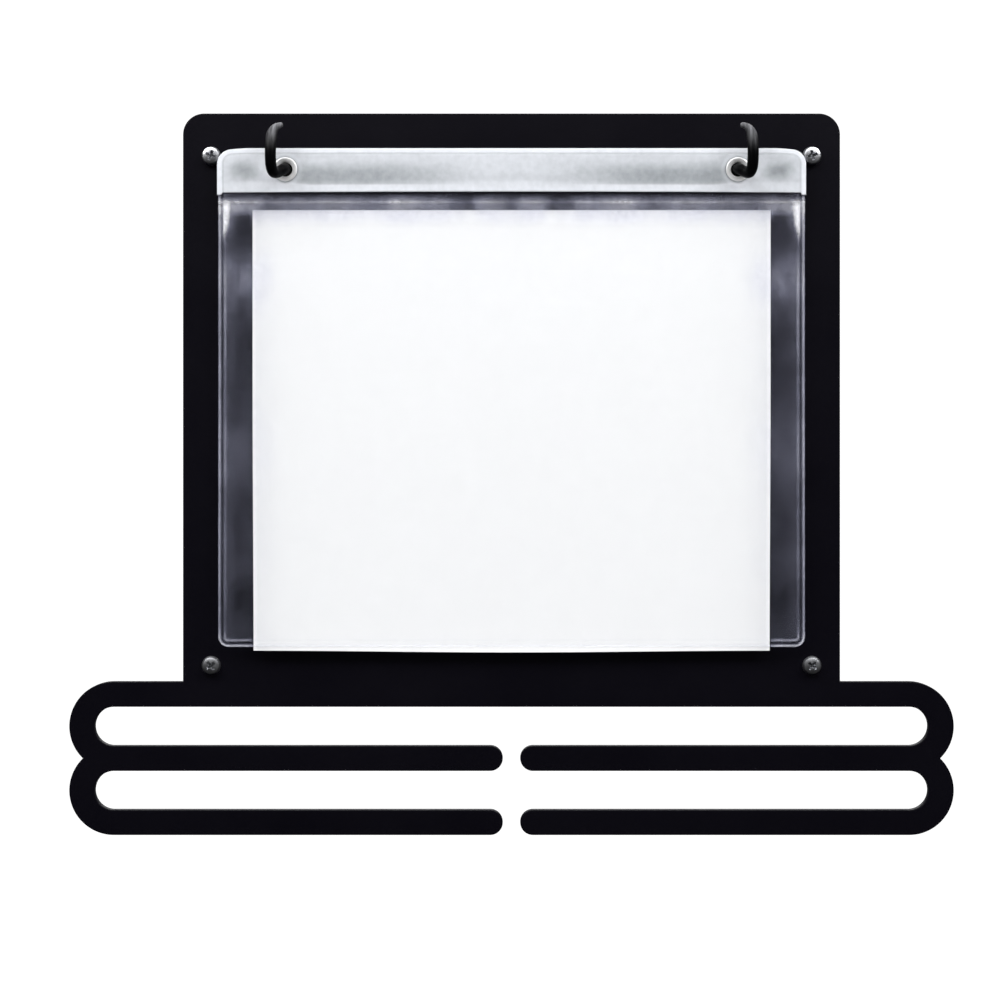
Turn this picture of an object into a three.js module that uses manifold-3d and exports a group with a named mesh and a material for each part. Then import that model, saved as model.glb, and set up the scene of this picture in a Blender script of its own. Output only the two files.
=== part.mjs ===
// Wall display for one race number and a row of medals. A flat steel plate stands off the wall on
// four spacers. Two hooks on its front carry a clear sleeve with a race number in it, and the
// plate's lower edge is cut into two rows of open-ended bars that medal ribbons slip over.
// Millimetres, +Z up, the front faces -Y. The origin is on the wall, at the middle of the four
// mounting screws. Inside the display group, heights are measured from the plate's lower edge.

import * as THREE from 'three';
import { mergeVertices } from 'three/addons/utils/BufferGeometryUtils.js';
import Module from 'manifold-3d';

const wasm = await Module();
wasm.setup();

// Driving dimensions: the plate.
const OVERALL_WIDTH = 356;
const PLATE_THICKNESS = 3;
const BODY_WIDTH = 264.4;
const BODY_HEIGHT = 228.6;
const BODY_CORNER_RADIUS = 8.5;
const BAR_HEIGHT = 10.2;
const SLOT_HEIGHT = 15.6;
const BAR_END_GAP = 7;

// Driving dimensions: wall fixings.
const SCREW_SPACING_X = 241.3;
const SCREW_SPACING_Z = 204.7;
const LOWER_SCREW_HEIGHT = 68.4;
const SCREW_HOLE_RADIUS = 2.4;
const SCREW_SHANK_RADIUS = 2;
const SCREW_HEAD_RADIUS = 3.8;
const SCREW_HEAD_HEIGHT = 2.4;
const SCREW_LENGTH = 50;
const RECESS_SPAN = 4.4;
const RECESS_WIDTH = 0.9;
const RECESS_DEPTH = 1.5;
const SPACER_LENGTH = 19;
const SPACER_RADIUS = 6.35;
const SPACER_BORE_RADIUS = 2.6;
const PLUG_LENGTH = 30;
const PLUG_RADIUS = 3.5;
const PLUG_BORE_RADIUS = 2.3;
const PLUG_RECESS = 2.3;
const PLUG_SLIT_WIDTH = 0.8;

// Driving dimensions: the hooks and their fixings behind the plate.
const HOOK_X = 90.4;
const HOOK_HEIGHT = 267;
const HOOK_ROD_RADIUS = 2.2;
const HOOK_TIP_RADIUS = 0.9;
const HOOK_TAPER_LENGTH = 9;
const HOOK_COLLAR_RADIUS = 3.4;
const HOOK_COLLAR_THICKNESS = 0.9;
const HOOK_SHANK_RADIUS = 1.9;
const HOOK_SHANK_LENGTH = 9.3;
const HOOK_HOLE_RADIUS = 2.2;
const WASHER_RADIUS = 4.5;
const WASHER_THICKNESS = 0.8;
const NUT_ACROSS_FLATS = 7;
const NUT_THICKNESS = 3.2;

// Driving dimensions: the sleeve. Depths run forward from the plate's front face.
const POCKET_WIDTH = 234.6;
const POCKET_BOTTOM = 76.1;
const POCKET_TOP = 261.5;
const POCKET_CORNER_RADIUS = 4;
const FILM_THICKNESS = 0.3;
const BACK_FILM_DEPTH = 3;
const FRONT_FILM_DEPTH = 3.85;
const WELD_WIDTH = 2.1;
const WELD_FOOT_INNER_X = 105.3;
const HEADER_WIDTH = 235.4;
const HEADER_HEIGHT = 17.7;
const HEADER_TOP = 275.4;
const HEADER_CORNER_RADIUS = 5.5;
const HEADER_BACK_DEPTH = 3.1;
const HEADER_LIP_DEPTH = 4.25;
const HEADER_FRONT_DEPTH = 4.6;
const EYELET_HEIGHT = 266.9;
const EYELET_HOLE_RADIUS = 2.85;
const EYELET_BARREL_RADIUS = 3.3;
const EYELET_FLANGE_RADIUS = 4.8;
const EYELET_BACK_DEPTH = 2.55;
const EYELET_FRONT_DEPTH = 5.1;
const EYELET_FLANGE_THICKNESS = 0.4;

// Driving dimensions: the race number.
const SHEET_WIDTH = 207.2;
const SHEET_HEIGHT = 176.9;
const SHEET_BOTTOM = 73.9;
const SHEET_DEPTH = 3.45;
const SHEET_THICKNESS = 0.25;

// Clearances between pieces that touch, and between a piece and what it is cut to fit.
const SEAT_GAP = 0.2;
const LAYER_GAP = 0.1;
const JOIN_GAP = 0.3;

// Facets.
const OUTLINE_SEGMENTS = 20;
const ROUND_SIDES = 28;
const ROD_SIDES = 12;

// Derived sizes.
const LOBE_RADIUS = BAR_HEIGHT + SLOT_HEIGHT / 2;
const SLOT_RADIUS = SLOT_HEIGHT / 2;
const BAR_END_RADIUS = BAR_HEIGHT / 2;
const ROW_PITCH = BAR_HEIGHT + SLOT_HEIGHT;
const RAIL_HEIGHT = 2 * ROW_PITCH + BAR_HEIGHT;
const LOBE_X = OVERALL_WIDTH / 2 - LOBE_RADIUS;
const LOWER_LOBE_HEIGHT = LOBE_RADIUS;
const UPPER_LOBE_HEIGHT = LOBE_RADIUS + ROW_PITCH;
const BAR_END_X = BAR_END_GAP / 2 + BAR_END_RADIUS;
const PLATE_TOP = RAIL_HEIGHT + BODY_HEIGHT;
const PLATE_BACK = SPACER_LENGTH + SEAT_GAP;
const PLATE_FRONT = PLATE_BACK + PLATE_THICKNESS;
const SCREW_MID_HEIGHT = LOWER_SCREW_HEIGHT + SCREW_SPACING_Z / 2;

const QUARTER = Math.PI / 2;

const SIDES = [
  { name: 'left', sign: -1 },
  { name: 'right', sign: 1 },
];

const CORNERS = SIDES.flatMap((side) => [
  { name: `bottom_${side.name}`, x: side.sign * SCREW_SPACING_X / 2, height: LOWER_SCREW_HEIGHT },
  {
    name: `top_${side.name}`,
    x: side.sign * SCREW_SPACING_X / 2,
    height: LOWER_SCREW_HEIGHT + SCREW_SPACING_Z,
  },
]);

// Helpers.

function finish(color, roughness, metalness, opacity = 1) {
  return new THREE.MeshStandardMaterial({
    color,
    roughness,
    metalness,
    opacity,
    transparent: opacity < 1,
  });
}

// A closed geometry as a solid for joining and cutting.
function solidOf(geometry) {
  const bare = geometry.clone();
  bare.deleteAttribute('normal');
  bare.deleteAttribute('uv');
  const merged = mergeVertices(bare, 1e-5);
  return new wasm.Manifold(new wasm.Mesh({
    numProp: 3,
    vertProperties: new Float32Array(merged.attributes.position.array),
    triVerts: new Uint32Array(merged.index.array),
  }));
}

function geometryOf(solid) {
  const mesh = solid.getMesh();
  const geometry = new THREE.BufferGeometry();
  geometry.setAttribute('position', new THREE.BufferAttribute(mesh.vertProperties, 3));
  geometry.setIndex(new THREE.BufferAttribute(mesh.triVerts, 1));
  geometry.computeVertexNormals();
  return geometry;
}

// An outline drawn in X and height, extruded between two distances from the wall.
function slab(shape, from, to) {
  const geometry = new THREE.ExtrudeGeometry(shape, {
    depth: to - from,
    bevelEnabled: false,
    curveSegments: OUTLINE_SEGMENTS,
  });
  geometry.rotateX(QUARTER);
  geometry.translate(0, -from, 0);
  return geometry;
}

// A piece turned about a line square to the wall, from [radius, distance from the wall] pairs that
// run from the back to the front on the outside.
function turned(profile, sides = ROUND_SIDES) {
  const points = profile.map(([radius, distance]) => new THREE.Vector2(radius, distance));
  const geometry = new THREE.LatheGeometry(points, sides);
  geometry.rotateX(Math.PI);
  return geometry;
}

function roundHole(x, height, radius) {
  const hole = new THREE.Path();
  hole.absarc(x, height, radius, 0, 2 * Math.PI, true);
  return hole;
}

// The outline of a rectangle with its own radius on the upper and on the lower corners.
function roundedRectangle(width, bottom, top, lowerRadius, upperRadius) {
  const half = width / 2;
  const shape = new THREE.Shape();
  shape.moveTo(-half + lowerRadius, bottom);
  shape.lineTo(half - lowerRadius, bottom);
  if (lowerRadius > 0) {
    shape.absarc(half - lowerRadius, bottom + lowerRadius, lowerRadius, -QUARTER, 0, false);
  }
  shape.lineTo(half, top - upperRadius);
  if (upperRadius > 0) {
    shape.absarc(half - upperRadius, top - upperRadius, upperRadius, 0, QUARTER, false);
  }
  shape.lineTo(-half + upperRadius, top);
  if (upperRadius > 0) {
    shape.absarc(-half + upperRadius, top - upperRadius, upperRadius, QUARTER, 2 * QUARTER, false);
  }
  shape.lineTo(-half, bottom + lowerRadius);
  if (lowerRadius > 0) {
    shape.absarc(-half + lowerRadius, bottom + lowerRadius, lowerRadius, 2 * QUARTER, 3 * QUARTER);
  }
  return shape;
}

// The steel plate: a body with two rows of bars under it. Each row is a long slot with round ends,
// and its lower bar is parted in the middle, so the outline runs through both slots.

function slotEnd(shape, side, lobeHeight, clockwiseFrom) {
  const x = side * LOBE_X;
  shape.absarc(x, lobeHeight, SLOT_RADIUS, clockwiseFrom, clockwiseFrom - Math.PI, true);
}

function barEnd(shape, side, barMiddle) {
  const from = side < 0 ? -QUARTER : QUARTER;
  shape.absarc(side * BAR_END_X, barMiddle, BAR_END_RADIUS, from, from + Math.PI, false);
}

function plateOutline() {
  const half = BODY_WIDTH / 2;
  const corner = BODY_CORNER_RADIUS;
  const notch = Math.asin(ROW_PITCH / 2 / LOBE_RADIUS);
  const middleBar = ROW_PITCH + BAR_END_RADIUS;
  const shape = new THREE.Shape();
  shape.moveTo(BAR_END_X, 0);
  shape.lineTo(LOBE_X, 0);
  shape.absarc(LOBE_X, LOWER_LOBE_HEIGHT, LOBE_RADIUS, -QUARTER, notch, false);
  shape.absarc(LOBE_X, UPPER_LOBE_HEIGHT, LOBE_RADIUS, -notch, QUARTER, false);
  shape.lineTo(half, RAIL_HEIGHT);
  shape.lineTo(half, PLATE_TOP - corner);
  shape.absarc(half - corner, PLATE_TOP - corner, corner, 0, QUARTER, false);
  shape.lineTo(-half + corner, PLATE_TOP);
  shape.absarc(-half + corner, PLATE_TOP - corner, corner, QUARTER, 2 * QUARTER, false);
  shape.lineTo(-half, RAIL_HEIGHT);
  shape.lineTo(-LOBE_X, RAIL_HEIGHT);
  shape.absarc(-LOBE_X, UPPER_LOBE_HEIGHT, LOBE_RADIUS, QUARTER, Math.PI + notch, false);
  shape.absarc(-LOBE_X, LOWER_LOBE_HEIGHT, LOBE_RADIUS, Math.PI - notch, 3 * QUARTER, false);
  shape.lineTo(-BAR_END_X, 0);
  barEnd(shape, -1, BAR_END_RADIUS);
  shape.lineTo(-LOBE_X, BAR_HEIGHT);
  slotEnd(shape, -1, LOWER_LOBE_HEIGHT, -QUARTER);
  shape.lineTo(-BAR_END_X, ROW_PITCH);
  barEnd(shape, -1, middleBar);
  shape.lineTo(-LOBE_X, ROW_PITCH + BAR_HEIGHT);
  slotEnd(shape, -1, UPPER_LOBE_HEIGHT, -QUARTER);
  shape.lineTo(LOBE_X, 2 * ROW_PITCH);
  slotEnd(shape, 1, UPPER_LOBE_HEIGHT, QUARTER);
  shape.lineTo(BAR_END_X, ROW_PITCH + BAR_HEIGHT);
  barEnd(shape, 1, middleBar);
  shape.lineTo(LOBE_X, ROW_PITCH);
  slotEnd(shape, 1, LOWER_LOBE_HEIGHT, QUARTER);
  shape.lineTo(BAR_END_X, BAR_HEIGHT);
  barEnd(shape, 1, BAR_END_RADIUS);
  return shape;
}

function backPlate() {
  const outline = plateOutline();
  for (const corner of CORNERS) {
    outline.holes.push(roundHole(corner.x, corner.height, SCREW_HOLE_RADIUS));
  }
  for (const side of SIDES) {
    outline.holes.push(roundHole(side.sign * HOOK_X, HOOK_HEIGHT, HOOK_HOLE_RADIUS));
  }
  return slab(outline, PLATE_BACK, PLATE_FRONT);
}

// Wall fixings, each built about its own line from the wall plane.

function mountingScrew() {
  const seat = PLATE_FRONT + SEAT_GAP;
  const tip = seat - SCREW_LENGTH;
  const head = seat + SCREW_HEAD_HEIGHT;
  const body = turned([
    [0, tip],
    [SCREW_SHANK_RADIUS, tip + 6],
    [SCREW_SHANK_RADIUS, seat],
    [SCREW_HEAD_RADIUS, seat],
    [SCREW_HEAD_RADIUS, seat + 0.8],
    [SCREW_HEAD_RADIUS - 0.35, seat + 1.4],
    [SCREW_HEAD_RADIUS - 1.1, seat + 1.95],
    [SCREW_HEAD_RADIUS - 2.2, seat + 2.28],
    [0, head],
  ]);
  const arm = new THREE.BoxGeometry(RECESS_SPAN, 2 * RECESS_DEPTH, RECESS_WIDTH);
  arm.translate(0, -head, 0);
  const crossArm = arm.clone().rotateY(QUARTER);
  const recess = solidOf(arm).add(solidOf(crossArm));
  return geometryOf(solidOf(body).subtract(recess));
}

function wallSpacer() {
  const chamfer = 0.5;
  return turned([
    [SPACER_BORE_RADIUS, 0],
    [SPACER_RADIUS - chamfer, 0],
    [SPACER_RADIUS, chamfer],
    [SPACER_RADIUS, SPACER_LENGTH - chamfer],
    [SPACER_RADIUS - chamfer, SPACER_LENGTH],
    [SPACER_BORE_RADIUS, SPACER_LENGTH],
    [SPACER_BORE_RADIUS, 0],
  ]);
}

// The plug sits a little below the wall's surface, slit along its middle so that it can spread.
function wallPlug() {
  const mouth = -PLUG_RECESS;
  const end = mouth - PLUG_LENGTH;
  const body = turned([
    [0, end],
    [PLUG_RADIUS - 1.2, end],
    [PLUG_RADIUS - 0.3, end + 4],
    [PLUG_RADIUS, mouth - 6],
    [PLUG_RADIUS, mouth],
    [PLUG_BORE_RADIUS, mouth],
    [PLUG_BORE_RADIUS, end + 3.5],
    [0, end + 2.5],
  ]);
  const slit = new THREE.BoxGeometry(3 * PLUG_RADIUS, PLUG_LENGTH - 10, PLUG_SLIT_WIDTH);
  slit.translate(0, -(mouth - PLUG_LENGTH / 2), 0);
  return geometryOf(solidOf(body).subtract(solidOf(slit)));
}

// The hooks: one tapered rod each, bent up in front of the plate, with a collar on the plate's face
// and a plain shank that passes through it to a washer and a nut.

// Hook centre line as [outward from the root, forward of the plate's face, above the root].
const HOOK_LINE = [
  [0, -HOOK_SHANK_LENGTH, 0],
  [0, -4.5, 0],
  [0, 0, 0],
  [0, 3, 0],
  [0.05, 5.6, -0.05],
  [0.8, 7.4, -0.8],
  [2.4, 9.4, -2.2],
  [3.7, 11.8, -2.6],
  [4.3, 13.7, -0.9],
  [4.5, 14.5, 2.4],
  [4.5, 14.5, 6.4],
  [4.4, 13.6, 10],
  [4.1, 12.1, 13],
  [3.1, 10, 15.4],
  [0.9, 7.2, 17.3],
];

function hookCurve(sign) {
  const points = HOOK_LINE.map(([outward, forward, height]) => (
    new THREE.Vector3(sign * outward, -(PLATE_FRONT + forward), height)
  ));
  return new THREE.CatmullRomCurve3(points, false, 'centripetal');
}

// A turning whose axis follows a curve that never runs along X. The profile holds Vector2 points of
// radius and distance along the curve.
function bentTurning(profile, curve) {
  const geometry = new THREE.LatheGeometry(profile, ROD_SIDES);
  const length = curve.getLength();
  const position = geometry.attributes.position;
  for (let i = 0; i < position.count; i += 1) {
    const along = Math.min(position.getY(i) / length, 1);
    const point = curve.getPointAt(along);
    const tangent = curve.getTangentAt(along);
    const sideways = new THREE.Vector3(1, 0, 0).projectOnPlane(tangent).normalize();
    const across = new THREE.Vector3().crossVectors(sideways, tangent);
    point.addScaledVector(sideways, position.getX(i));
    point.addScaledVector(across, position.getZ(i));
    position.setXYZ(i, point.x, point.y, point.z);
  }
  return geometry;
}

function hook(sign) {
  const curve = hookCurve(sign);
  const length = curve.getLength();
  const collarStart = HOOK_SHANK_LENGTH + SEAT_GAP;
  const collarEnd = collarStart + HOOK_COLLAR_THICKNESS;
  const taperStart = length - HOOK_TAPER_LENGTH;
  const steps = 30;
  const profile = [
    [0, 0],
    [HOOK_SHANK_RADIUS - 0.4, 0],
    [HOOK_SHANK_RADIUS, 0.4],
    [HOOK_SHANK_RADIUS, collarStart],
    [HOOK_COLLAR_RADIUS, collarStart],
    [HOOK_COLLAR_RADIUS, collarEnd],
    [HOOK_ROD_RADIUS, collarEnd],
  ];
  for (let i = 1; i <= steps; i += 1) {
    const along = collarEnd + (length - HOOK_TIP_RADIUS - collarEnd) * i / steps;
    const taper = Math.max(0, along - taperStart) / HOOK_TAPER_LENGTH;
    profile.push([HOOK_ROD_RADIUS + (HOOK_TIP_RADIUS - HOOK_ROD_RADIUS) * taper, along]);
  }
  profile.push([0.7 * HOOK_TIP_RADIUS, length - 0.3 * HOOK_TIP_RADIUS]);
  profile.push([0, length]);
  return bentTurning(profile.map(([radius, along]) => new THREE.Vector2(radius, along)), curve);
}

function hookWasher() {
  const front = PLATE_BACK - LAYER_GAP;
  const back = front - WASHER_THICKNESS;
  return turned([
    [HOOK_HOLE_RADIUS, back],
    [WASHER_RADIUS, back],
    [WASHER_RADIUS, front],
    [HOOK_HOLE_RADIUS, front],
    [HOOK_HOLE_RADIUS, back],
  ]);
}

function hookNut() {
  const front = PLATE_BACK - WASHER_THICKNESS - 2 * LAYER_GAP;
  const reach = NUT_ACROSS_FLATS / Math.sqrt(3);
  const shape = new THREE.Shape();
  for (let i = 0; i < 6; i += 1) {
    const angle = i * Math.PI / 3;
    const point = new THREE.Vector2(reach * Math.cos(angle), reach * Math.sin(angle));
    if (i === 0) {
      shape.moveTo(point.x, point.y);
    } else {
      shape.lineTo(point.x, point.y);
    }
  }
  shape.holes.push(roundHole(0, 0, HOOK_HOLE_RADIUS));
  return slab(shape, front - NUT_THICKNESS, front);
}

// The sleeve: two clear films welded along their sides and lower corners, open at the bottom
// between the corners, with a thick header strip across the top.

function backFilm() {
  const outline = roundedRectangle(POCKET_WIDTH, POCKET_BOTTOM, POCKET_TOP, POCKET_CORNER_RADIUS, 0);
  const back = PLATE_FRONT + BACK_FILM_DEPTH;
  return slab(outline, back, back + FILM_THICKNESS);
}

// One side's weld: a strip up the side and a foot along the bottom as far as the sheet's edge.
function weldOutline(sign) {
  const outer = POCKET_WIDTH / 2;
  const radius = POCKET_CORNER_RADIUS;
  const inner = outer - WELD_WIDTH;
  const innerRadius = radius - WELD_WIDTH;
  const floor = POCKET_BOTTOM + WELD_WIDTH;
  const points = [new THREE.Vector2(WELD_FOOT_INNER_X, POCKET_BOTTOM)];
  const cornerSteps = 6;
  for (let i = 0; i <= cornerSteps; i += 1) {
    const angle = -QUARTER + QUARTER * i / cornerSteps;
    points.push(new THREE.Vector2(
      outer - radius + radius * Math.cos(angle),
      POCKET_BOTTOM + radius + radius * Math.sin(angle),
    ));
  }
  points.push(new THREE.Vector2(outer, POCKET_TOP), new THREE.Vector2(inner, POCKET_TOP));
  for (let i = cornerSteps; i >= 0; i -= 1) {
    const angle = -QUARTER + QUARTER * i / cornerSteps;
    points.push(new THREE.Vector2(
      inner - innerRadius + innerRadius * Math.cos(angle),
      floor + innerRadius + innerRadius * Math.sin(angle),
    ));
  }
  points.push(new THREE.Vector2(WELD_FOOT_INNER_X, floor));
  return new THREE.Shape(points.map((point) => new THREE.Vector2(sign * point.x, point.y)));
}

function frontFilm() {
  const outline = roundedRectangle(POCKET_WIDTH, POCKET_BOTTOM, POCKET_TOP, POCKET_CORNER_RADIUS, 0);
  const filmBack = PLATE_FRONT + FRONT_FILM_DEPTH;
  const weldBack = PLATE_FRONT + BACK_FILM_DEPTH + FILM_THICKNESS + LAYER_GAP;
  const intoFilm = FILM_THICKNESS / 2;
  let film = solidOf(slab(outline, filmBack, filmBack + FILM_THICKNESS));
  for (const side of SIDES) {
    film = film.add(solidOf(slab(weldOutline(side.sign), weldBack, filmBack + intoFilm)));
  }
  return geometryOf(film);
}

// The header: a thick strip that closes the top, with a thin lip that overlaps the front film.
function header() {
  const bottom = HEADER_TOP - HEADER_HEIGHT;
  const blockBottom = POCKET_TOP + JOIN_GAP;
  const front = PLATE_FRONT + HEADER_FRONT_DEPTH;
  const lipBack = PLATE_FRONT + HEADER_LIP_DEPTH;
  const face = roundedRectangle(HEADER_WIDTH, bottom, HEADER_TOP, 0, HEADER_CORNER_RADIUS);
  const block = roundedRectangle(HEADER_WIDTH, blockBottom, HEADER_TOP, 0, HEADER_CORNER_RADIUS);
  for (const side of SIDES) {
    const holeRadius = EYELET_BARREL_RADIUS + SEAT_GAP;
    face.holes.push(roundHole(side.sign * HOOK_X, EYELET_HEIGHT, holeRadius));
    block.holes.push(roundHole(side.sign * HOOK_X, EYELET_HEIGHT, holeRadius));
  }
  const overlap = (front - lipBack) / 2;
  const lip = solidOf(slab(face, lipBack, front));
  return geometryOf(lip.add(solidOf(slab(block, PLATE_FRONT + HEADER_BACK_DEPTH, lipBack + overlap))));
}

function eyelet() {
  const back = PLATE_FRONT + EYELET_BACK_DEPTH;
  const front = PLATE_FRONT + EYELET_FRONT_DEPTH;
  const flangeBack = front - EYELET_FLANGE_THICKNESS;
  return turned([
    [EYELET_HOLE_RADIUS, back],
    [EYELET_BARREL_RADIUS, back],
    [EYELET_BARREL_RADIUS, flangeBack],
    [EYELET_FLANGE_RADIUS, flangeBack],
    [EYELET_FLANGE_RADIUS - 0.4, front - 0.05],
    [EYELET_HOLE_RADIUS + 0.3, front],
    [EYELET_HOLE_RADIUS, front - 0.2],
    [EYELET_HOLE_RADIUS, back],
  ]);
}

function eyeletWasher() {
  const bore = EYELET_BARREL_RADIUS + LAYER_GAP;
  const front = PLATE_FRONT + HEADER_BACK_DEPTH - LAYER_GAP;
  const back = front - 0.3;
  return turned([
    [bore, back],
    [EYELET_FLANGE_RADIUS - 0.3, back],
    [EYELET_FLANGE_RADIUS, front],
    [bore, front],
    [bore, back],
  ]);
}

function numberSheet() {
  const outline = roundedRectangle(SHEET_WIDTH, SHEET_BOTTOM, SHEET_BOTTOM + SHEET_HEIGHT, 0, 0);
  const back = PLATE_FRONT + SHEET_DEPTH;
  return slab(outline, back, back + SHEET_THICKNESS);
}

// Assembly.

const part = new THREE.Group();
const display = new THREE.Group();
display.position.z = -SCREW_MID_HEIGHT;
part.add(display);

function place(name, geometry, material, x = 0, height = 0) {
  const mesh = new THREE.Mesh(geometry, material);
  mesh.name = name;
  mesh.position.set(x, 0, height);
  display.add(mesh);
}

place('back_plate', backPlate(), finish(0x1a181c, 0.5, 0.4));

for (const corner of CORNERS) {
  place(`screw_${corner.name}`, mountingScrew(), finish(0xd4d6da, 0.2, 1), corner.x, corner.height);
  place(`spacer_${corner.name}`, wallSpacer(), finish(0x202022, 0.6, 0), corner.x, corner.height);
  place(`wall_plug_${corner.name}`, wallPlug(), finish(0xb9bcc0, 0.6, 0), corner.x, corner.height);
}

for (const side of SIDES) {
  const x = side.sign * HOOK_X;
  place(`hook_${side.name}`, hook(side.sign), finish(0x161517, 0.35, 0.4), x, HOOK_HEIGHT);
  place(`hook_washer_${side.name}`, hookWasher(), finish(0xc4c6c9, 0.3, 1), x, HOOK_HEIGHT);
  place(`hook_nut_${side.name}`, hookNut(), finish(0xc4c6c9, 0.3, 1), x, HOOK_HEIGHT);
}

place('sleeve_back_film', backFilm(), finish(0xdfe3e8, 0.15, 0, 0.25));
place('sleeve_front_film', frontFilm(), finish(0xdfe3e8, 0.15, 0, 0.25));
place('sleeve_header', header(), finish(0xdde0e4, 0.3, 0));

for (const side of SIDES) {
  const x = side.sign * HOOK_X;
  place(`eyelet_${side.name}`, eyelet(), finish(0xe6e7e9, 0.2, 1), x, EYELET_HEIGHT);
  place(`eyelet_washer_${side.name}`, eyeletWasher(), finish(0xe6e7e9, 0.2, 1), x, EYELET_HEIGHT);
}

place('number_sheet', numberSheet(), finish(0xf4f5f8, 0.7, 0));

export default part;
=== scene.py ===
"""Looks of a wall display: a black steel plate with a clear race number sleeve and two rows of medal bars.

Metres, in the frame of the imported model: +X to the right seen from the front, +Y into the wall, +Z up.
Below, a height runs up from the plate's lower edge and a depth runs forward from the plate's front face.
"""

from math import asin, cos, degrees, exp, hypot, pi, radians, sin, sqrt

import bmesh
import bpy
from mathutils import Matrix, Vector, noise
from mathutils.geometry import tessellate_polygon


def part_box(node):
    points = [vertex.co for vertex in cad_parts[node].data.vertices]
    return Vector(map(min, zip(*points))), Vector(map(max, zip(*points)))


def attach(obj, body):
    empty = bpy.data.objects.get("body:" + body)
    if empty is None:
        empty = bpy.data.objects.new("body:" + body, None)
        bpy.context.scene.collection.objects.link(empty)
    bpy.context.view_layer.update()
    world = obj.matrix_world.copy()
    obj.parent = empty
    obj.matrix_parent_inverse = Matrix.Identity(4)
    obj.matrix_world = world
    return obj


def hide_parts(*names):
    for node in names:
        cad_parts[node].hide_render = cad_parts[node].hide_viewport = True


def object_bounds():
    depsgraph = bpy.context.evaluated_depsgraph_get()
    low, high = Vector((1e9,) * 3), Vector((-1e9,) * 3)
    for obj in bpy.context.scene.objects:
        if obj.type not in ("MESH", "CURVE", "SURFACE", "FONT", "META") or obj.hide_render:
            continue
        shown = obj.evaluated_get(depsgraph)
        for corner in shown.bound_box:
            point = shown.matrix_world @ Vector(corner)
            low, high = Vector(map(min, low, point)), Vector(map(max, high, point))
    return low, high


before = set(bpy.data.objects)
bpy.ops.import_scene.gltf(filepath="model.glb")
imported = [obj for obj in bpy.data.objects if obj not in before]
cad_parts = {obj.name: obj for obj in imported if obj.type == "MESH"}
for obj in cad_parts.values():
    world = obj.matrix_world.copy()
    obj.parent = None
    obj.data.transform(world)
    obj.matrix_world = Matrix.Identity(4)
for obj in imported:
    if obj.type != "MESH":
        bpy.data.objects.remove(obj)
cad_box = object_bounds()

MM = 0.001
NOISE_LAYER_GAP = 7.3
MERGE_DISTANCE = 1e-7
SMALLEST_STEP = 1e-9
AXIS_RADIUS = 1e-6
SQUARE_TO_WALL = 0.99999
SHARPEST_MITRE = 0.3

# Places that the frame gives.
plate_low, plate_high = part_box("back_plate")
film_low, film_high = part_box("sleeve_front_film")
header_low, header_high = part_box("sleeve_header")
sheet_low, sheet_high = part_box("number_sheet")
PLATE_FRONT = plate_low.y
PLATE_BACK = plate_high.y
BASE = plate_low.z
PLATE_HEIGHT = plate_high.z - BASE
SIDES = (("left", -1), ("right", 1))

# The plate's outline.
BODY_WIDTH = 264.4 * MM
BODY_CORNER_RADIUS = 8.5 * MM
BAR_HEIGHT = 10.2 * MM
SLOT_HEIGHT = 15.6 * MM
BAR_END_GAP = 7 * MM
SCREW_HOLE_RADIUS = 2.4 * MM
HOOK_HOLE_RADIUS = 2.2 * MM
PLATE_EDGE_RADIUS = 0.45 * MM
ROW_PITCH = BAR_HEIGHT + SLOT_HEIGHT
LOBE_RADIUS = BAR_HEIGHT + SLOT_HEIGHT / 2
LOBE_X = plate_high.x - LOBE_RADIUS
RAIL_HEIGHT = 2 * ROW_PITCH + BAR_HEIGHT
BAR_END_X = (BAR_END_GAP + BAR_HEIGHT) / 2

# Fixings. Each screw is given by its corner of the plate and its turn in degrees.
SCREW_HEAD_RADIUS = 3.8 * MM
SCREW_HEAD_HEIGHT = 2.4 * MM
SCREW_SHANK_RADIUS = 2 * MM
SCREW_CORE_RADIUS = 1.45 * MM
SCREW_DOME = 1.1 * MM
SCREW_TIP_LENGTH = 6 * MM
SCREW_THREAD_START = 9 * MM
SCREW_PITCH = 1.6 * MM
RECESS_WING = (7.2 * MM, 1.95 * MM, 3.4 * MM)
RECESS_PIT = ((1.5 * MM, -1 * MM), (1.15 * MM, 0.6 * MM), (0.2 * MM, 1.75 * MM))
SCREWS = (("bottom_left", 52), ("top_left", 20), ("bottom_right", 38), ("top_right", 75))
SPACER_BORE_RADIUS = 2.6 * MM
PLUG_BORE_RADIUS = 2.3 * MM
PLUG_RIBS = 9
PLUG_SLIT_WIDTH = 0.8 * MM
PLUG_TURN = 25
NUT_PITCH = 0.7 * MM
THREAD_FULLNESS = 0.8

# Hooks, whose centre line is given in millimetres as (outward, depth, height above the root).
HOOK_ROD_RADIUS = 2.2 * MM
HOOK_TIP_RADIUS = 0.9 * MM
HOOK_TAPER_LENGTH = 9 * MM
HOOK_COLLAR_RADIUS = 3.4 * MM
HOOK_COLLAR_THICKNESS = 0.9 * MM
HOOK_SHANK_RADIUS = 1.9 * MM
HOOK_SHANK_LENGTH = 9.3 * MM
HOOK_SIDES = 32
HOOK_THREAD_END = 6 * MM
HOOK_THREAD_CORE = 1.5 * MM
HOOK_SEAT_GAP = 0.2 * MM
# Heights above a hook's root over which its painted sheen rises from none to full.
SHEEN_START = 4 * MM
SHEEN_END = 18 * MM
HOOK_LINE = (
    (0, -9.3, 0), (0, -4.5, 0), (0, 0, 0), (0, 3, 0), (0.05, 5.6, -0.05),
    (0.8, 7.4, -0.8), (2.4, 9.4, -2.2), (3.7, 11.8, -2.6), (4.3, 13.7, -0.9), (4.5, 14.5, 2.4),
    (4.5, 14.5, 6.4), (4.4, 13.6, 10), (4.1, 12.1, 13), (3.1, 10, 15.4), (0.9, 7.2, 17.3),
)

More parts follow.
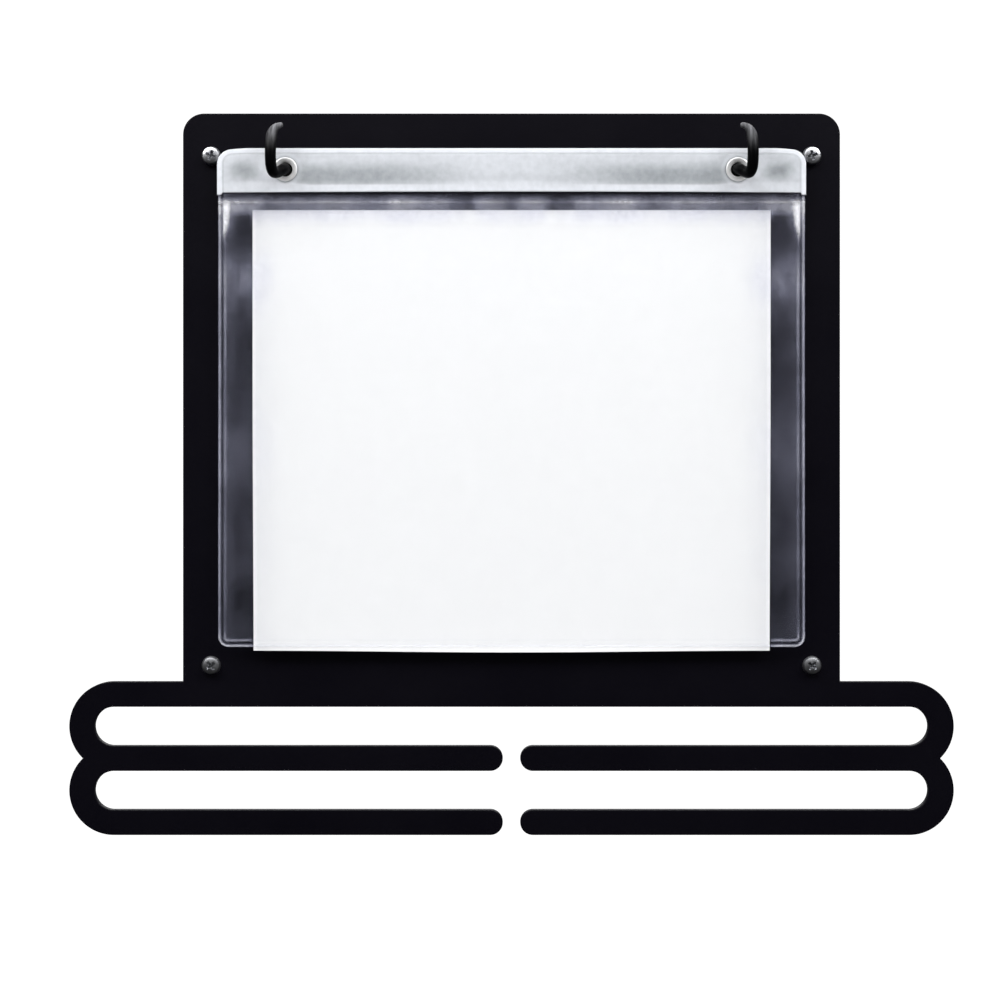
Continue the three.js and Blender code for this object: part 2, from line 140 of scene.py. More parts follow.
# The sleeve.
FILM_THICKNESS = 0.24 * MM
FILM_CORNER_RADIUS = 4 * MM
BEAD_WIDTH = 0.8 * MM
WELD_WIDTH = 2.1 * MM
HEADER_CORNER_RADIUS = 5.5 * MM
HEADER_RIM = 0.28 * MM
HEADER_BORDER = 2.2 * MM
HEADER_BAND = 2.9 * MM
HEADER_BAND_AT_ENDS = 5.6 * MM
HEADER_DROOP = 0.8 * MM
HEADER_DROOP_LENGTH = 13 * MM
HEADER_FOOT = 0.9 * MM
HEADER_ARCH = 0.4 * MM
EYELET_HOLE_RADIUS = 2.85 * MM
EYELET_BARREL_RADIUS = 3.3 * MM
EYELET_FLANGE_RADIUS = 4.8 * MM
TOP_WELD_DROP = 3.7 * MM
WELD_STEP = 0.35 * MM
BEAD_RISE = 0.22 * MM
INNER_LINE_RISE = 0.16 * MM
POCKET_PUFF = 0.25 * MM
POCKET_PUFF_HIGH_UP = 1.35 * MM
TOP_WELD_PINCH = 0.25 * MM
TOP_WELD_RISE = 0.14 * MM
SHEET_THICKNESS = 0.16 * MM
SHEET_BOW = 0.7 * MM
SHEET_TAPER = 0.0038

# Camera and light.
CAMERA_DISTANCE = 650 * MM
CAMERA_X = -4.63 * MM
CAMERA_Z = -35.9 * MM
VIEW_WIDTH_AT_PLATE = 402.2 * MM
SENSOR_WIDTH = 36.0
FLOOR_DROP = 330 * MM
FLOOR_RADIUS = 0.8
SOFTBOX_POWER = 11.3


# Small helpers.

def smoothstep(low, high, x):
    """0 below low, 1 above high and a smooth rise between them."""
    t = min(max((x - low) / (high - low), 0.0), 1.0)
    return t * t * (3 - 2 * t)


def fade(low, high, x):
    """1 below low, 0 above high and a smooth fall between them."""
    return 1 - smoothstep(low, high, x)


def window(start, full, easing, end, x):
    """1 from full to easing, after a smooth rise from start and before a smooth fall to end."""
    return smoothstep(start, full, x) * fade(easing, end, x)


def hump(x, middle, half_width):
    """1 at the middle, falling smoothly to 0 at half_width to either side."""
    t = abs(x - middle) / half_width
    return 0.0 if t >= 1 else 0.5 + 0.5 * cos(pi * t)


def wave(x, y, size, seed):
    """A smooth random height from -1 to 1 that changes over about size metres."""
    return noise.noise(Vector((x / size, y / size, NOISE_LAYER_GAP * seed)))


def spot(x, depth, height):
    return Vector((x, PLATE_FRONT - depth, BASE + height))


def steps_between(start, end, step):
    count = max(1, round(abs(end - start) / step))
    return [start + (end - start) * i / count for i in range(count + 1)]


def arc(x, height, radius, start, end, step=4):
    """Points on an arc between two angles in degrees."""
    angles = [radians(angle) for angle in steps_between(start, end, step)]
    return [(x + radius * cos(a), height + radius * sin(a)) for a in angles]


def middle_of(node):
    low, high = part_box(node)
    return (low + high) / 2


def size_of(node):
    low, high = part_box(node)
    return high - low


def front_of(node):
    """The middle of a node's front."""
    return middle_of(node) - Vector((0, size_of(node).y / 2, 0))


def place_in_scene(name, data):
    made = bpy.data.objects.new(name, data)
    bpy.context.scene.collection.objects.link(made)
    return made


# Mesh building.

def mesh_from(name, vertices, faces, sharp_angle=35, flat_faces=True):
    """A smooth-shaded mesh with outward normals and crisp edges where faces meet at more than sharp_angle."""
    mesh = bpy.data.meshes.new(name)
    mesh.from_pydata([tuple(v) for v in vertices], [], faces)
    shell = bmesh.new()
    shell.from_mesh(mesh)
    bmesh.ops.remove_doubles(shell, verts=shell.verts, dist=MERGE_DISTANCE)
    bmesh.ops.recalc_face_normals(shell, faces=shell.faces)
    shell.to_mesh(mesh)
    shell.free()
    finish_shading(mesh, sharp_angle, flat_faces)
    return mesh


def finish_shading(mesh, sharp_angle=35, flat_faces=True):
    """Smooth shading with crisp edges. Flat faces square to the wall keep their own normal."""
    mesh.shade_smooth()
    mesh.set_sharp_from_angle(angle=radians(sharp_angle))
    for polygon in mesh.polygons:
        if flat_faces and abs(polygon.normal.y) > SQUARE_TO_WALL:
            polygon.use_smooth = False


def mesh_of(name, shell):
    """A mesh made from a bmesh, which is freed."""
    mesh = bpy.data.meshes.new(name)
    shell.to_mesh(mesh)
    shell.free()
    return mesh


def band(a, b, count):
    """Faces between two rings of count points, which start at a and b."""
    return [(a + i, a + (i + 1) % count, b + (i + 1) % count, b + i) for i in range(count)]


def loft(name, rings, closed=False, sharp_angle=35):
    """A skin over rings of equal count. Its ends are capped, or joined to each other when closed."""
    count = len(rings[0])
    vertices = [point for ring in rings for point in ring]
    faces = []
    spans = len(rings) if closed else len(rings) - 1
    for row in range(spans):
        faces += band(row * count, (row + 1) % len(rings) * count, count)
    if not closed:
        faces.append(tuple(range(count)))
        faces.append(tuple(range(len(vertices) - count, len(vertices))))
    return mesh_from(name, vertices, faces, sharp_angle)


def ring(radius, y, sides, shape=None):
    """A ring about the Y axis. shape(angle, y, radius) may change its radius around the turn."""
    points = []
    for i in range(sides):
        angle = 2 * pi * i / sides
        r = shape(angle, y, radius) if shape else radius
        points.append(Vector((r * cos(angle), y, r * sin(angle))))
    return points


def turned(name, profile, sides=64, closed=False, shape=None, sharp_angle=35):
    """A turning about Y from (radius, y) pairs."""
    rings = [ring(max(radius, AXIS_RADIUS), y, sides, shape) for radius, y in profile]
    return loft(name, rings, closed, sharp_angle)


def offset_loop(loop, distance):
    """A closed loop moved sideways to its left, by the mitre at each point."""
    moved = []
    for i, point in enumerate(loop):
        here = Vector(point)
        before = (here - Vector(loop[i - 1])).normalized()
        after = (Vector(loop[(i + 1) % len(loop)]) - here).normalized()
        left = Vector((-before.y - after.y, before.x + after.x))
        scale = distance / max(left.length_squared / 2, SHARPEST_MITRE)
        moved.append(tuple(here + left * scale))
    return moved


def rounded_slab(name, loops, front, back, radius):
    """A flat plate with rounded edges. Loops are in X and height, with the material on their left."""
    stations = arc(radius, front + radius, radius, -90, -180, 22.5)
    stations += [(inset, front + back - y) for inset, y in reversed(stations)]
    vertices, faces, front_cap, back_cap = [], [], [], []
    for loop in loops:
        count = len(loop)
        first = len(vertices)
        for inset, y in stations:
            for x, height in offset_loop(loop, inset):
                vertices.append((x, y, BASE + height))
        for row in range(len(stations) - 1):
            faces += band(first + row * count, first + (row + 1) * count, count)
        front_cap.append(list(range(first, first + count)))
        back_cap.append(list(range(len(vertices) - count, len(vertices))))
    for cap in (front_cap, back_cap):
        flat = [[Vector((vertices[i][0], vertices[i][2], 0)) for i in part] for part in cap]
        index = [i for part in cap for i in part]
        faces += [tuple(index[i] for i in triangle) for triangle in tessellate_polygon(flat)]
    return mesh_from(name, vertices, faces)


def relief(name, rows, columns, half_width, front, back):
    """A thin panel from rows of heights and columns from -1 to 1, with a depth function for each face."""
    vertices, faces = [], []
    for depth in (front, back):
        for height in rows:
            for u in columns:
                x = u * half_width(height)
                vertices.append(spot(x, depth(x, height), height))
    wide, size = len(columns), len(rows) * len(columns)
    for j in range(len(rows) - 1):
        for i in range(wide - 1):
            a = j * wide + i
            faces.append((a, a + 1, a + wide + 1, a + wide))
            faces.append((size + a, size + a + wide, size + a + wide + 1, size + a + 1))
    last = size - wide
    edge = [*range(wide), *range(2 * wide - 1, size, wide), *range(size - 2, last - 1, -1),
            *range(last - wide, 0, -wide)]
    for a, b in zip(edge, edge[1:] + edge[:1]):
        faces.append((b, a, size + a, size + b))
    return mesh_from(name, vertices, faces, sharp_angle=50, flat_faces=False)


def graded(low, high, fine, fine_width, coarse, fine_low=True):
    """Values from low to high, coarse in between and fine near high, and near low too if fine_low."""
    values = [low]
    while values[-1] < high - SMALLEST_STEP:
        near_low = fine_low and values[-1] - low < fine_width
        near_high = high - values[-1] < fine_width
        step = fine if near_low or near_high else coarse
        values.append(min(values[-1] + step, high))
    return values


def columns_across(half_width, fine, fine_width, coarse):
    """Columns from -1 to 1 across a panel, fine near its sides."""
    right = graded(0, half_width, fine, fine_width, coarse, fine_low=False)
    return [-x / half_width for x in reversed(right[1:])] + [x / half_width for x in right]


def carve(mesh, cutters):
    """The mesh with each cutter mesh taken out of it."""
    body = place_in_scene("carve_body", mesh)
    helpers = [place_in_scene("carve_cutter", cutter) for cutter in cutters]
    for helper in helpers:
        cut = body.modifiers.new("cut", "BOOLEAN")
        cut.operation = "DIFFERENCE"
        cut.solver = "EXACT"
        cut.object = helper
    bpy.context.view_layer.update()
    evaluated = body.evaluated_get(bpy.context.evaluated_depsgraph_get())
    carved = bpy.data.meshes.new_from_object(evaluated)
    carved.name = mesh.name
    for leftover in (body, *helpers):
        bpy.data.objects.remove(leftover)
    return carved


def piece(name, mesh, material, body, slot, *nodes, location=(0, 0, 0), turn=0.0):
    """A piece of the object that rides on a body and stands for its CAD nodes."""
    made = place_in_scene(name, mesh)
    made.location = location
    made.rotation_euler = (0, turn, 0)
    if not mesh.materials:
        mesh.materials.append(material)
    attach(made, body)
    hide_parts(*nodes)


def fitting(name, mesh, material, body, slot, node, set_back=0.0, turn=0):
    """A piece at the middle of its node's front, or set back from it, and turned by some degrees."""
    place = front_of(node) + Vector((0, set_back, 0))
    piece(name, mesh, material, body, slot, node, location=place, turn=radians(turn))


# Material building.

class Nodes:
    """The node tree of a material or world, with short calls for its nodes."""

    def __init__(self, owner, output):
        self.owner = owner
        owner.use_nodes = True
        self.tree = owner.node_tree
        self.tree.nodes.clear()
        self.output = self.tree.nodes.new(output)
        self.coordinates = self.add("ShaderNodeTexCoord").outputs
        self.place = self.coordinates["Object"]

    def add(self, kind, inputs=None, **settings):
        made = self.tree.nodes.new(kind)
        for key, value in settings.items():
            setattr(made, key, value)
        for key, value in (inputs or {}).items():
            if isinstance(value, bpy.types.NodeSocket):
                self.tree.links.new(value, made.inputs[key])
            else:
                made.inputs[key].default_value = value
        return made

    def noise(self, scale, detail=2.0, roughness=0.5, vector=None, distortion=0.0):
        values = {"Vector": vector or self.place, "Scale": scale, "Detail": detail,
                  "Roughness": roughness, "Distortion": distortion}
        return self.add("ShaderNodeTexNoise", values).outputs["Fac"]

    def stretched(self, x, y, z):
        """The place, squeezed or stretched along each axis."""
        values = {"Vector": self.place, "Scale": (x, y, z)}
        return self.add("ShaderNodeMapping", values).outputs["Vector"]

    def math(self, operation, a, b=0.0, clamp=False):
        return self.add("ShaderNodeMath", {0: a, 1: b}, operation=operation, use_clamp=clamp).outputs[0]

    def span(self, value, low, high, to_low, to_high, curve="LINEAR"):
        """value, carried from one range to another and held at its ends."""
        values = {"Value": value, "From Min": low, "From Max": high, "To Min": to_low, "To Max": to_high}
        return self.add("ShaderNodeMapRange", values, interpolation_type=curve).outputs["Result"]

    def blend(self, share, a, b):
        """A colour between a and b. The Mix node's colours are its sockets 6 and 7, and 2 on the way out."""
        a, b = [(*colour, 1) if isinstance(colour, tuple) else colour for colour in (a, b)]
        return self.add("ShaderNodeMix", {0: share, 6: a, 7: b}, data_type="RGBA").outputs[2]

    def bump(self, height, distance, strength=1.0):
        values = {"Height": height, "Distance": distance, "Strength": strength}
        return self.add("ShaderNodeBump", values).outputs["Normal"]

    def close(self, shader):
        self.tree.links.new(shader.outputs[0], self.output.inputs["Surface"])
        return self.owner

    def principled(self, inputs):
        return self.close(self.add("ShaderNodeBsdfPrincipled", inputs))


def surface(name):
    return Nodes(bpy.data.materials.new(name), "ShaderNodeOutputMaterial")


def powder_coat():
    """Fine satin powder coat: an orange-peel skin, nearly black."""
    s = surface("powder_coat")
    peel = s.noise(1500, 2.5, 0.55)
    broad = s.noise(28, 3.0)
    colour = s.blend(broad, (0.0015, 0.0012, 0.0030), (0.0024, 0.0020, 0.0044))
    rough = s.span(s.math("ADD", s.math("MULTIPLY", peel, 0.5), s.math("MULTIPLY", broad, 0.5)),
                   0.3, 0.7, 0.40, 0.52)
    return s.principled({
        "Base Color": colour, "Roughness": rough, "IOR": 1.5, "Specular IOR Level": 0.09,
        "Normal": s.bump(peel, 0.05 * MM, 0.5),
    })


def hook_paint():
    """Satin black paint, with a painted sheen: long grey streaks on the front of the rod towards its tip,
    where the light overhead would give a highlight.
    """
    s = surface("hook_paint")
    grain = s.noise(900, 3.0)
    long_marks = s.noise(900, 3.0, vector=s.stretched(1.0, 0.12, 0.12))
    black = s.blend(grain, (0.0006, 0.0006, 0.0009), (0.0014, 0.0014, 0.0018))
    height = s.add("ShaderNodeSeparateXYZ", {0: s.place}).outputs["Z"]
    root = middle_of("hook_washer_left").z
    # Painted sheen: grey paint, strongest high up and on the rod's front, stands in for the highlight of the
    # light overhead.
    painted_sheen = s.math("POWER", s.span(height, root + SHEEN_START, root + SHEEN_END, 0.0, 1.0), 2.2)
    painted_sheen = s.math("MULTIPLY", painted_sheen, s.span(long_marks, 0.35, 0.65, 0.35, 1.0))
    away_from_front = s.add("ShaderNodeSeparateXYZ", {0: s.coordinates["Normal"]}).outputs["Y"]
    painted_sheen = s.math("MULTIPLY", painted_sheen, s.span(away_from_front, -0.9, -0.3, 1.0, 0.28))
    return s.principled({
        "Base Color": s.blend(painted_sheen, black, (0.45, 0.45, 0.48)),
        "Roughness": s.span(long_marks, 0.3, 0.7, 0.30, 0.44), "IOR": 1.5, "Specular IOR Level": 0.05,
        "Normal": s.bump(long_marks, 0.06 * MM, 0.7),
    })


def plated(name, colour, low, high, metallic=1.0):
    """Plated metal with fine scratches and slight clouding, its roughness between low and high."""
    s = surface(name)
    cloud = s.noise(350, 3.0)
    scratches = s.noise(900, 4.0, 0.65, s.stretched(1.0, 5.0, 0.35))
    dark = tuple(0.8 * c for c in colour)
    mixed = s.math("ADD", s.math("MULTIPLY", cloud, 0.6), s.math("MULTIPLY", scratches, 0.4))
    return s.principled({
        "Base Color": s.blend(cloud, dark, colour), "Metallic": metallic,
        "Roughness": s.span(mixed, 0.3, 0.7, low, high),
        "Normal": s.bump(scratches, 0.01 * MM, 0.4),
    })


def moulded(name, dark, light, low, high):
    """Injection-moulded plastic with a fine spark-eroded texture, its roughness between low and high."""
    s = surface(name)
    grain = s.noise(2400, 2.0)
    cloud = s.noise(160, 3.0)
    return s.principled({
        "Base Color": s.blend(cloud, dark, light),
        "Roughness": s.span(grain, 0.3, 0.7, low, high),
        "Normal": s.bump(grain, 0.03 * MM, 0.5),
    })


def clear_film():
    """Clear vinyl film: it shows what is behind it, mirrors a little and has a faint milky layer, whose
    pattern also paints soft reflections and highlights, and shade over the sheet's edges.
    """
    s = surface("clear_film")
    haze_and_painted_light = s.add("ShaderNodeAttribute", attribute_name="haze_and_painted_light").outputs["Fac"]
    cloud = s.noise(150, 4.0, 0.6, s.stretched(1.0, 1.0, 0.6))
    fine = s.noise(700, 3.0)
    mottled = s.math("MULTIPLY", s.span(cloud, 0.25, 0.75, 0.65, 1.35), s.span(fine, 0.3, 0.7, 0.75, 1.25))
    mottled = s.math("MULTIPLY", haze_and_painted_light, mottled, clamp=True)
    normal = s.bump(fine, 0.02 * MM, 0.25)
    facing = s.add("ShaderNodeLayerWeight", {"Blend": 0.5}).outputs["Facing"]
    rim = s.math("MULTIPLY", s.math("POWER", facing, 5.0), 0.85)
    mirrored = s.math("ADD", rim, 0.034)
    clear = s.add("ShaderNodeBsdfTransparent", {"Color": (0.99, 0.992, 0.995, 1)})
    milky = s.span(haze_and_painted_light, 0.06, 0.24, 0.0, 1.0)
    tint = s.blend(milky, (0.68, 0.70, 0.93), (0.90, 0.90, 0.95))
    cloudy = s.add("ShaderNodeBsdfDiffuse", {"Color": tint, "Normal": normal})
    gloss = s.add("ShaderNodeBsdfGlossy", {"Roughness": 0.14, "Normal": normal})
    body = s.add("ShaderNodeMixShader", {0: mottled, 1: clear.outputs[0], 2: cloudy.outputs[0]})
    return s.close(s.add("ShaderNodeMixShader", {0: mirrored, 1: body.outputs[0], 2: gloss.outputs[0]}))


def header_vinyl():
    """Thick silvery vinyl, glossy, with painted shade and highlights in soft grey clouds, and a bright welded
    border.
    """
    s = surface("header_vinyl")
    tone_and_painted_light = s.add("ShaderNodeAttribute", attribute_name="tone_and_painted_light").outputs["Fac"]
    cloud = s.noise(26, 3.0, 0.5, s.stretched(0.55, 1.0, 1.7), 0.6)
    fine = s.noise(420, 4.0)
    # Painted light: the strip's painted shade and highlights, with soft clouds of painted shade and a fine
    # random grain.
    shade = s.math("ADD", tone_and_painted_light, s.span(cloud, 0.3, 0.7, -0.07, 0.07))
    shade = s.math("ADD", shade, s.span(fine, 0.3, 0.7, -0.06, 0.06), clamp=True)
    colour = s.blend(shade, (0.18, 0.20, 0.21), (0.735, 0.755, 0.80))
    return s.principled({
        "Base Color": colour, "Roughness": s.span(cloud, 0.3, 0.7, 0.16, 0.28), "IOR": 1.53,
        "Coat Weight": 0.5, "Coat Roughness": 0.08,
        "Normal": s.bump(fine, 0.05 * MM, 0.4),
    })


def paper():
    """Plain white spun-bonded sheet: long swirled fibres, hardly seen, and a little shade near its edges."""
    s = surface("paper")
    swirl = s.noise(160, 5.0, 0.6, s.stretched(1.0, 1.0, 0.35), 1.8)
    cross = s.noise(210, 5.0, 0.6, s.stretched(0.3, 1.0, 1.0), 1.8)
    fibre = s.math("MAXIMUM", swirl, cross)
    white = s.blend(s.span(fibre, 0.35, 0.75, 0.0, 1.0), (0.89,) * 3, (0.915,) * 3)
    shade = s.add("ShaderNodeAttribute", attribute_name="shade").outputs["Fac"]
    colour = s.blend(shade, white, (0.02, 0.03, 0.06))
    return s.principled({
        "Base Color": colour, "Roughness": 0.62, "IOR": 1.45,
        "Normal": s.bump(fibre, 0.06 * MM, 0.35),
    })


COAT = powder_coat()
HOOK_PAINT = hook_paint()
ZINC = plated("bright_zinc", (0.68, 0.69, 0.72), 0.31, 0.43)
FIXING = plated("fixing_steel", (0.66, 0.66, 0.65), 0.25, 0.42)
NICKEL = plated("nickel", (0.97, 0.97, 0.97), 0.28, 0.38, 0.4)
BLACK_PLASTIC = moulded("black_plastic", (0.012, 0.012, 0.013), (0.022, 0.022, 0.024), 0.45, 0.62)
GREY_PLASTIC = moulded("grey_plastic", (0.42, 0.44, 0.46), (0.52, 0.54, 0.56), 0.38, 0.55)
FILM = clear_film()
HEADER = header_vinyl()
PAPER = paper()


# The plate.

def half_outline():
    """The right half of the plate's outline, clockwise from the middle of its top edge."""
    half = BODY_WIDTH / 2
    corner = BODY_CORNER_RADIUS
    notch = degrees(asin(ROW_PITCH / 2 / LOBE_RADIUS))
    points = [(0, PLATE_HEIGHT)]
    points += arc(half - corner, PLATE_HEIGHT - corner, corner, 90, 0)
    points += [(half, RAIL_HEIGHT)]
    points += arc(LOBE_X, LOBE_RADIUS + ROW_PITCH, LOBE_RADIUS, 90, -notch)
    points += arc(LOBE_X, LOBE_RADIUS, LOBE_RADIUS, notch, -90)[1:]
    for row in range(2):
        foot = row * ROW_PITCH
        points += arc(BAR_END_X, foot + BAR_HEIGHT / 2, BAR_HEIGHT / 2, 270, 90)
        points += arc(LOBE_X, foot + LOBE_RADIUS, SLOT_HEIGHT / 2, -90, 90)
    points += [(0, 2 * ROW_PITCH)]
    return points


def make_plate():
    right = half_outline()
    left = [(-x, height) for x, height in reversed(right[1:-1])]
    loops = [list(reversed(right + left))]
    holes = [(f"screw_{corner}", SCREW_HOLE_RADIUS) for corner, _ in SCREWS]
    holes += [(f"hook_washer_{side}", HOOK_HOLE_RADIUS) for side, _ in SIDES]
    for node, radius in holes:
        middle = middle_of(node)
        loops.append(arc(middle.x, middle.z - BASE, radius, 360, 0, 9)[:-1])
    mesh = rounded_slab("plate", loops, PLATE_FRONT, PLATE_BACK, PLATE_EDGE_RADIUS)
    piece("plate", mesh, COAT, "wall_unit", "powder_coat", "back_plate")


# Fixings.

def thread(start, end, pitch, core):
    """A radius rule that cuts a helical thread into a turning between two places on its axis."""
    def shaped(angle, y, radius):
        inside = window(start, start + pitch, end - pitch, end, y)
        turn = (y / pitch - angle / (2 * pi)) % 1.0
        groove = abs(2 * turn - 1) ** THREAD_FULLNESS
        return radius - max(radius - core, 0) * groove * inside
    return shaped


def recess_cutters():
    """The cross of a screw's recess as two tapered bars, and the pit in its middle."""
    wings = []
    for turn in (0, 90):
        wing = bmesh.new()
        bmesh.ops.create_cone(wing, cap_ends=True, segments=4, radius1=0.5, radius2=0.32, depth=1)
        squared = Matrix.Rotation(radians(45), 4, "Z")
        scaled = Matrix.Diagonal((*RECESS_WING, 1))
        stood = Matrix.Rotation(radians(-90), 4, "X")
        turned_by = Matrix.Rotation(radians(turn), 4, "Y")
        placed = Matrix.Translation((0, -SCREW_HEAD_HEIGHT, 0))
        bmesh.ops.transform(wing, matrix=placed @ turned_by @ stood @ scaled @ squared, verts=wing.verts)
        wings.append(mesh_of("wing", wing))
    pit = turned("pit", [(radius, y - SCREW_HEAD_HEIGHT) for radius, y in RECESS_PIT], 24)
    return [*wings, pit]


def screw_mesh():
    """A pan-head screw about Y, with its head towards -Y and the seat of the head at the origin."""
    length = size_of("screw_top_left").y - SCREW_HEAD_HEIGHT
    head, radius = SCREW_HEAD_RADIUS, SCREW_SHANK_RADIUS
    crown = [(head * sin(a), -SCREW_HEAD_HEIGHT + SCREW_DOME * (1 - cos(a)))
             for a in [radians(angle) for angle in range(3, 61, 6)]]
    side = [(head - 0.22 * MM, -1.25 * MM), (head - 0.05 * MM, -0.85 * MM), (head, -0.45 * MM),
            (head - 0.06 * MM, -0.08 * MM), (head - 0.16 * MM, 0)]
    tip = length - SCREW_TIP_LENGTH
    shank = [(radius + 0.2 * MM, 0), (radius, 0.25 * MM)]
    shank += [(radius, y) for y in steps_between(SCREW_THREAD_START - 1 * MM, tip, SCREW_PITCH / 8)]
    shank += [(radius * (1 - t) + 0.1 * MM, tip + SCREW_TIP_LENGTH * t)
              for t in [i / 24 for i in range(1, 25)]]
    shape = thread(SCREW_THREAD_START, length - 1 * MM, SCREW_PITCH, SCREW_CORE_RADIUS)
    body = turned("mounting_screw", [(0, -SCREW_HEAD_HEIGHT), *crown, *side, *shank], 40, shape=shape)
    carved = carve(body, recess_cutters())
    finish_shading(carved, 32)
    return carved


def spacer_mesh():
    size = size_of("spacer_top_left")
    outer, length, bore, round_off = size.x / 2, size.y, SPACER_BORE_RADIUS, 0.5 * MM
    profile = [(bore + 0.2 * MM, 0), *arc(outer - round_off, round_off, round_off, -90, 0, 15)]
    profile += [(outer, y) for y in steps_between(round_off, length - round_off, 2 * MM)[1:-1]]
    profile += [*arc(outer - round_off, length - round_off, round_off, 0, 90, 15), (bore + 0.2 * MM, length)]
    profile += [(bore, length - 0.2 * MM), (bore, 0.2 * MM)]
    return turned("spacer", profile, 64, closed=True)


def plug_mesh():
    """A ribbed plug about Y with its mouth at the origin, slit so that it can spread."""
    size = size_of("wall_plug_top_left")
    length, outer, bore = size.y, size.x / 2, PLUG_BORE_RADIUS
    profile = [(bore + 0.15 * MM, 0), (outer - 0.2 * MM, 0), (outer, 0.25 * MM), (outer, 1.1 * MM)]
    first, last = 3 * MM, length - 5 * MM
    pitch = (last - first) / PLUG_RIBS
    for i in range(PLUG_RIBS):
        y = first + pitch * i
        profile += [(outer - 0.55 * MM, y), (outer - 0.5 * MM, y + 0.35 * pitch),
                    (outer - 0.05 * MM, y + 0.9 * pitch), (outer - 0.1 * MM, y + 0.96 * pitch)]
    profile += [(outer - 0.6 * MM, last + 0.3 * MM), (outer - 1.3 * MM, length - 0.5 * MM),
                (outer - 1.7 * MM, length), (0.4 * MM, length), (0.4 * MM, length - 2 * MM),
                (bore - 0.6 * MM, length - 4 * MM), (bore, 4 * MM)]
    body = turned("wall_plug", profile, 48, closed=True)
    middle, size = Vector((0, length / 2, 0)), Vector((3 * outer, length - 11 * MM, PLUG_SLIT_WIDTH))
    slit = bmesh.new()
    bmesh.ops.create_cube(slit, size=1, matrix=Matrix.LocRotScale(middle, None, size))
    carved = carve(body, [mesh_of("slit", slit)])
    finish_shading(carved)
    return carved


def make_wall_fixings():
    screw, spacer, plug = screw_mesh(), spacer_mesh(), plug_mesh()
    for corner, turn in SCREWS:
        fitting(f"mounting_screw_{corner}", screw, ZINC, "wall_unit", "bright_zinc", f"screw_{corner}",
                set_back=SCREW_HEAD_HEIGHT, turn=turn)
        fitting(f"standoff_{corner}", spacer, BLACK_PLASTIC, "wall_unit", "spacer_plastic",
                f"spacer_{corner}")
        fitting(f"plug_{corner}", plug, GREY_PLASTIC, "wall_unit", "plug_plastic", f"wall_plug_{corner}",
                turn=PLUG_TURN)


# Hooks.

def smooth_line(points, per_span=14):
    """A centripetal Catmull-Rom curve through the points."""
    ends = [2 * points[0] - points[1], *points, 2 * points[-1] - points[-2]]
    line = []
    for p0, p1, p2, p3 in zip(ends, ends[1:], ends[2:], ends[3:]):
        d0, d1, d2 = ((b - a).length ** 0.5 for a, b in ((p0, p1), (p1, p2), (p2, p3)))
        out = ((p1 - p0) / d0 - (p2 - p0) / (d0 + d1) + (p2 - p1) / d1) * d1
        into = ((p2 - p1) / d1 - (p3 - p1) / (d1 + d2) + (p3 - p2) / d2) * d1
        for i in range(per_span):
            t = i / per_span
            line.append(p1 * (2 * t**3 - 3 * t**2 + 1) + out * (t**3 - 2 * t**2 + t)
                        + p2 * (3 * t**2 - 2 * t**3) + into * (t**3 - t**2))
    return [*line, points[-1]]


def walk(line, along):
    """The point and direction at a distance along a line of points."""
    for a, b in zip(line, line[1:]):
        step = (b - a).length
        if along <= step or b is line[-1]:
            return a + (b - a) * min(along / step, 1.0), (b - a).normalized()
        along -= step


def hook_profile(length):
    """The hook from its threaded end to its rounded tip, as pairs of radius and distance along it."""
    collar = HOOK_SHANK_LENGTH + HOOK_SEAT_GAP
    top = collar + HOOK_COLLAR_THICKNESS
    rod, tip, r = HOOK_ROD_RADIUS, HOOK_TIP_RADIUS, HOOK_COLLAR_RADIUS
    profile = [(HOOK_SHANK_RADIUS - 0.35 * MM, 0), (HOOK_SHANK_RADIUS, 0.35 * MM)]
    profile += [(HOOK_SHANK_RADIUS, y) for y in steps_between(0.4 * MM, HOOK_THREAD_END, NUT_PITCH / 9)]
    profile += [(HOOK_SHANK_RADIUS, y) for y in (7 * MM, collar - 0.01 * MM)]
    profile += [(r - 0.2 * MM, collar), (r, collar + 0.2 * MM), (r, top - 0.35 * MM), (r - 0.35 * MM, top)]
    profile += arc(rod + 0.35 * MM, top + 0.35 * MM, 0.35 * MM, -90, -180, 22.5)
    for y in steps_between(top + 0.6 * MM, length - tip, 0.35 * MM):
        taper = max(0.0, y - (length - HOOK_TAPER_LENGTH)) / HOOK_TAPER_LENGTH
        profile.append((rod + (tip - rod) * taper, y))
    end_radius = profile[-1][0]
    profile += [(end_radius * cos(a), length - tip + tip * sin(a))
                for a in [pi / 16 * i for i in range(1, 8)]]
    return profile


def hook_mesh(side, sign):
    root = middle_of(f"hook_washer_{side}")
    points = []
    for outward, depth, height in HOOK_LINE:
        points.append(spot(root.x + sign * outward * MM, depth * MM, root.z - BASE + height * MM))
    line = smooth_line(points)
    length = sum((b - a).length for a, b in zip(line, line[1:]))
    shape = thread(0.1 * MM, HOOK_THREAD_END, NUT_PITCH, HOOK_THREAD_CORE)
    rings = []
    for radius, along in hook_profile(length):
        point, tangent = walk(line, along)
        sideways = (Vector((1, 0, 0)) - tangent * tangent.x).normalized()
        across = sideways.cross(tangent)
        section = ring(radius, along, HOOK_SIDES, shape)
        rings.append([point + sideways * place.x + across * place.z for place in section])
    return loft(f"hook_rod_{side}", rings)


def washer_mesh(node, bore):
    size = size_of(node)
    outer, thick, r = size.x / 2, size.y, 0.15 * MM
    profile = [(bore, r), (bore + r, 0), *arc(outer - r, r, r, -90, 0, 22.5)]
    profile += [*arc(outer - r, thick - r, r, 0, 90, 22.5), (bore + r, thick), (bore, thick - r)]
    return turned("hook_washer_ring", profile, 64, closed=True)


